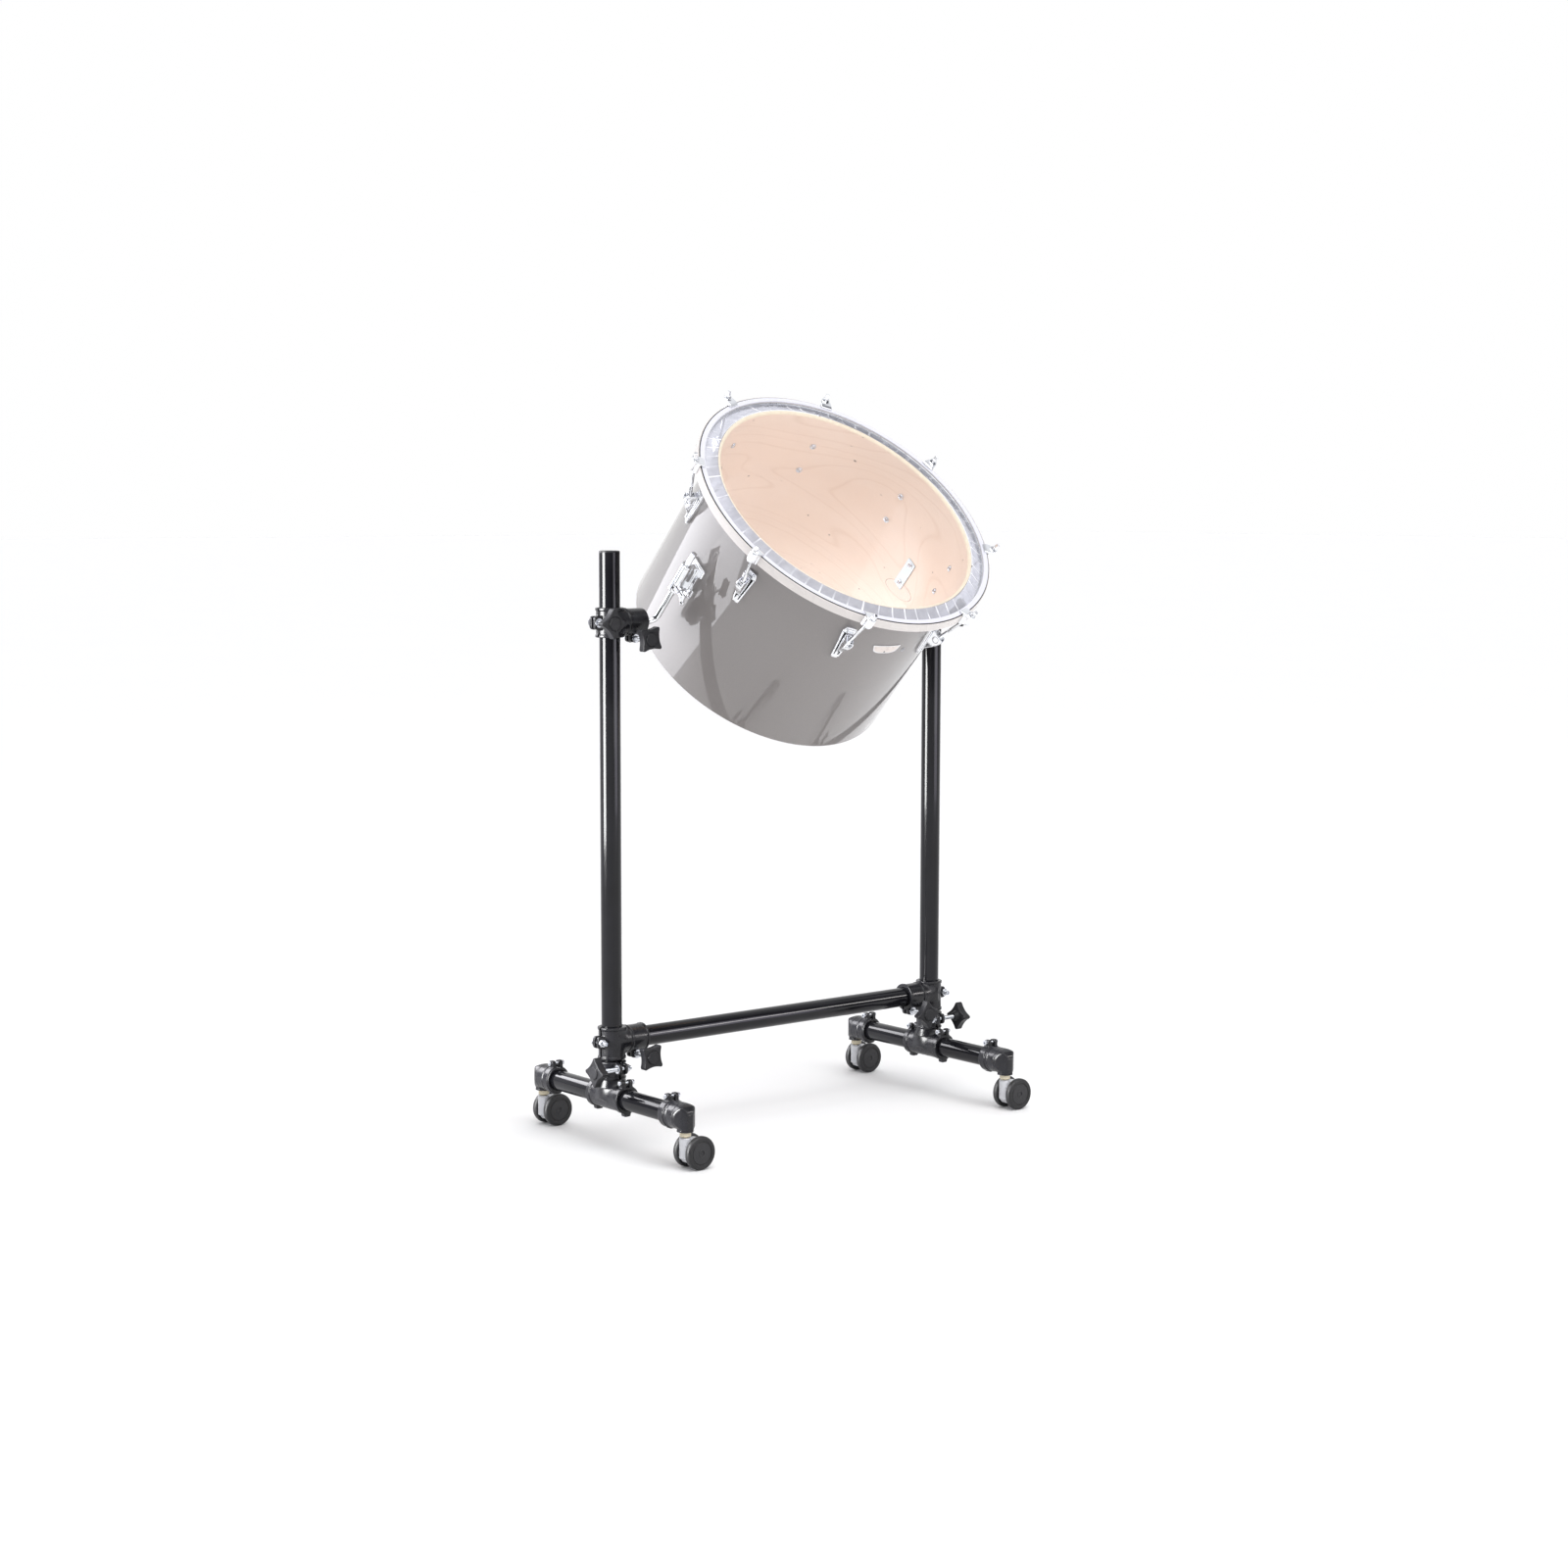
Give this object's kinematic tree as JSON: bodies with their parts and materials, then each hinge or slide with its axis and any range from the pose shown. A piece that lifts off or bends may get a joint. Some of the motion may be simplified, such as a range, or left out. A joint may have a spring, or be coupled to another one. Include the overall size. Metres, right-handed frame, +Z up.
{
  "type": "bass drum",
  "caption": "Single-headed gong bass drum, tilted and open at the bottom, hung on bent rods between the uprights of a black pipe stand on casters.",
  "frame": {"origin": "on the floor at the middle of the object's footprint", "axes": "+X along the crossbar to the player's right, -Y towards the player, +Z up"},
  "size_m": [0.888, 0.653, 1.3527],
  "materials": {
    "shell_lacquer": "gloss",
    "clear_film": "gloss",
    "hoop_enamel": "satin",
    "bright_chrome": "polished",
    "flesh_alloy": "satin",
    "inner_plate": "satin",
    "screw_zinc": "satin",
    "badge_plate": "satin",
    "black_tube": "gloss",
    "black_casting": "satin",
    "black_knob": "matte",
    "dark_bolt": "satin",
    "stem_brass": "satin",
    "hood_silver": "satin",
    "wheel_black": "matte"
  },
  "bodies": {
    "stand": {"upright_left": "black_tube", "upright_right": "black_tube", "upright_caps": "black_knob", "crossbar": "black_tube", "lower_tee_left": "black_casting", "lower_tee_right": "black_casting", "tee_bolts": "dark_bolt"},
    "crossbar_knob_left": {"crossbar_knob_left": "black_knob"},
    "crossbar_knob_right": {"crossbar_knob_right": "black_knob"},
    "leg_left": {"leg_tee_left": "black_casting", "leg_tube_left": "black_tube", "leg_elbows_left": "black_casting", "leg_bolts_left": "dark_bolt", "caster_stems_left": "stem_brass"},
    "leg_right": {"leg_tee_right": "black_casting", "leg_tube_right": "black_tube", "leg_elbows_right": "black_casting", "leg_bolts_right": "dark_bolt", "caster_stems_right": "stem_brass"},
    "leg_knob_left": {"leg_knob_left": "black_knob"},
    "leg_knob_right": {"leg_knob_right": "black_knob"},
    "clamp_left": {"upper_clamp_left": "black_casting", "clamp_nuts_left": "dark_bolt"},
    "clamp_right": {"upper_clamp_right": "black_casting", "clamp_nuts_right": "dark_bolt"},
    "height_knob_left": {"height_knob_left": "black_knob"},
    "height_knob_right": {"height_knob_right": "black_knob"},
    "tilt_knob_left": {"tilt_knob_left": "black_knob"},
    "tilt_knob_right": {"tilt_knob_right": "black_knob"},
    "rods": {"mounting_rod_left": "bright_chrome", "mounting_rod_right": "bright_chrome"},
    "drum": {"shell": "shell_lacquer", "head_film": "clear_film", "flesh_hoop": "flesh_alloy", "counterhoop": "hoop_enamel", "claws": "bright_chrome", "tension_rods": "bright_chrome", "rod_washers": "bright_chrome", "lugs": "bright_chrome", "swivel_nuts": "bright_chrome", "lug_screws": "screw_zinc", "bracket_left": "bright_chrome", "bracket_right": "bright_chrome", "bracket_plates": "inner_plate", "bracket_screws": "screw_zinc", "badge": "badge_plate", "vent_grommet": "bright_chrome"},
    "wing_bolt_left": {"wing_bolt_left": "bright_chrome"},
    "wing_bolt_right": {"wing_bolt_right": "bright_chrome"},
    "caster_front_left": {"caster_hood_front_left": "hood_silver"},
    "wheels_front_left": {"caster_wheels_front_left": "wheel_black"},
    "caster_front_right": {"caster_hood_front_right": "hood_silver"},
    "wheels_front_right": {"caster_wheels_front_right": "wheel_black"},
    "caster_rear_left": {"caster_hood_rear_left": "hood_silver"},
    "wheels_rear_left": {"caster_wheels_rear_left": "wheel_black"},
    "caster_rear_right": {"caster_hood_rear_right": "hood_silver"},
    "wheels_rear_right": {"caster_wheels_rear_right": "wheel_black"}
  },
  "joints": [
    {"name": "height_left", "type": "slide", "parent": "stand", "child": "clamp_left", "axis": [0, 0, 1], "range_m": [-0.35, 0.09]},
    {"name": "height_right", "type": "slide", "parent": "stand", "child": "clamp_right", "axis": [0, 0, 1], "range_m": [-0.35, 0.09]},
    {"name": "drum_tilt", "type": "hinge", "parent": "clamp_left", "child": "rods", "pos_m": [-0.3315, 0.08486, 0.941], "axis": [1, 0, 0], "range_deg": [-43.8, 46.2]},
    {"name": "drum_on_rods", "type": "slide", "parent": "rods", "child": "drum", "axis": [0, -0.6921, 0.7218], "range_m": [-0.025, 0.025]},
    {"name": "height_knob_left_turn", "type": "hinge", "parent": "clamp_left", "child": "height_knob_left", "pos_m": [-0.4105, 0.08486, 0.941], "axis": [0, -1, 0], "range_deg": [0, 540]},
    {"name": "tilt_knob_left_turn", "type": "hinge", "parent": "clamp_left", "child": "tilt_knob_left", "pos_m": [-0.3315, 0.08486, 0.912], "axis": [0, -1, 0], "range_deg": [0, 540]},
    {"name": "crossbar_knob_left_turn", "type": "hinge", "parent": "stand", "child": "crossbar_knob_left", "pos_m": [-0.3315, 0.08486, 0.165], "axis": [0, -1, 0], "range_deg": [0, 540]},
    {"name": "leg_swivel_left", "type": "hinge", "parent": "stand", "child": "leg_left", "pos_m": [-0.3815, 0.08486, 0], "axis": [0, 0, 1], "range_deg": [-90, 30]},
    {"name": "leg_knob_left_turn", "type": "hinge", "parent": "leg_left", "child": "leg_knob_left", "pos_m": [-0.3815, 0.05586, 0.147], "axis": [-1, 0, 0], "range_deg": [0, 540]},
    {"name": "wing_bolt_left_turn", "type": "hinge", "parent": "drum", "child": "wing_bolt_left", "pos_m": [-0.283, 0.02145, 1.00711], "axis": [0, -0.7218, -0.6921], "range_deg": [0, 540]},
    {"name": "height_knob_right_turn", "type": "hinge", "parent": "clamp_right", "child": "height_knob_right", "pos_m": [0.4105, 0.08486, 0.941], "axis": [0, -1, 0], "range_deg": [0, 540]},
    {"name": "tilt_knob_right_turn", "type": "hinge", "parent": "clamp_right", "child": "tilt_knob_right", "pos_m": [0.3315, 0.08486, 0.912], "axis": [0, -1, 0], "range_deg": [0, 540]},
    {"name": "crossbar_knob_right_turn", "type": "hinge", "parent": "stand", "child": "crossbar_knob_right", "pos_m": [0.3315, 0.08486, 0.165], "axis": [0, -1, 0], "range_deg": [0, 540]},
    {"name": "leg_swivel_right", "type": "hinge", "parent": "stand", "child": "leg_right", "pos_m": [0.3815, 0.08486, 0], "axis": [0, 0, 1], "range_deg": [-30, 90]},
    {"name": "leg_knob_right_turn", "type": "hinge", "parent": "leg_right", "child": "leg_knob_right", "pos_m": [0.3815, 0.05586, 0.147], "axis": [1, 0, 0], "range_deg": [0, 540]},
    {"name": "wing_bolt_right_turn", "type": "hinge", "parent": "drum", "child": "wing_bolt_right", "pos_m": [0.283, 0.02145, 1.00711], "axis": [0, -0.7218, -0.6921], "range_deg": [0, 540]},
    {"name": "swivel_front_left", "type": "hinge", "parent": "leg_left", "child": "caster_front_left", "pos_m": [-0.3815, -0.13314, 0.05], "axis": [0, 0, 1], "continuous": true},
    {"name": "roll_front_left", "type": "hinge", "parent": "caster_front_left", "child": "wheels_front_left", "pos_m": [-0.3625, -0.13314, 0.03], "axis": [0, 1, 0], "continuous": true},
    {"name": "swivel_front_right", "type": "hinge", "parent": "leg_right", "child": "caster_front_right", "pos_m": [0.3815, -0.13314, 0.05], "axis": [0, 0, 1], "continuous": true},
    {"name": "roll_front_right", "type": "hinge", "parent": "caster_front_right", "child": "wheels_front_right", "pos_m": [0.4005, -0.13314, 0.03], "axis": [0, 1, 0], "continuous": true},
    {"name": "swivel_rear_left", "type": "hinge", "parent": "leg_left", "child": "caster_rear_left", "pos_m": [-0.3815, 0.30286, 0.05], "axis": [0, 0, 1], "continuous": true},
    {"name": "roll_rear_left", "type": "hinge", "parent": "caster_rear_left", "child": "wheels_rear_left", "pos_m": [-0.3625, 0.30286, 0.03], "axis": [0, 1, 0], "continuous": true},
    {"name": "swivel_rear_right", "type": "hinge", "parent": "leg_right", "child": "caster_rear_right", "pos_m": [0.3815, 0.30286, 0.05], "axis": [0, 0, 1], "continuous": true},
    {"name": "roll_rear_right", "type": "hinge", "parent": "caster_rear_right", "child": "wheels_rear_right", "pos_m": [0.4005, 0.30286, 0.03], "axis": [0, 1, 0], "continuous": true}
  ],
  "couplings": [
    {"joint": "height_right", "follows": "height_left", "ratio": 1}
  ]
}
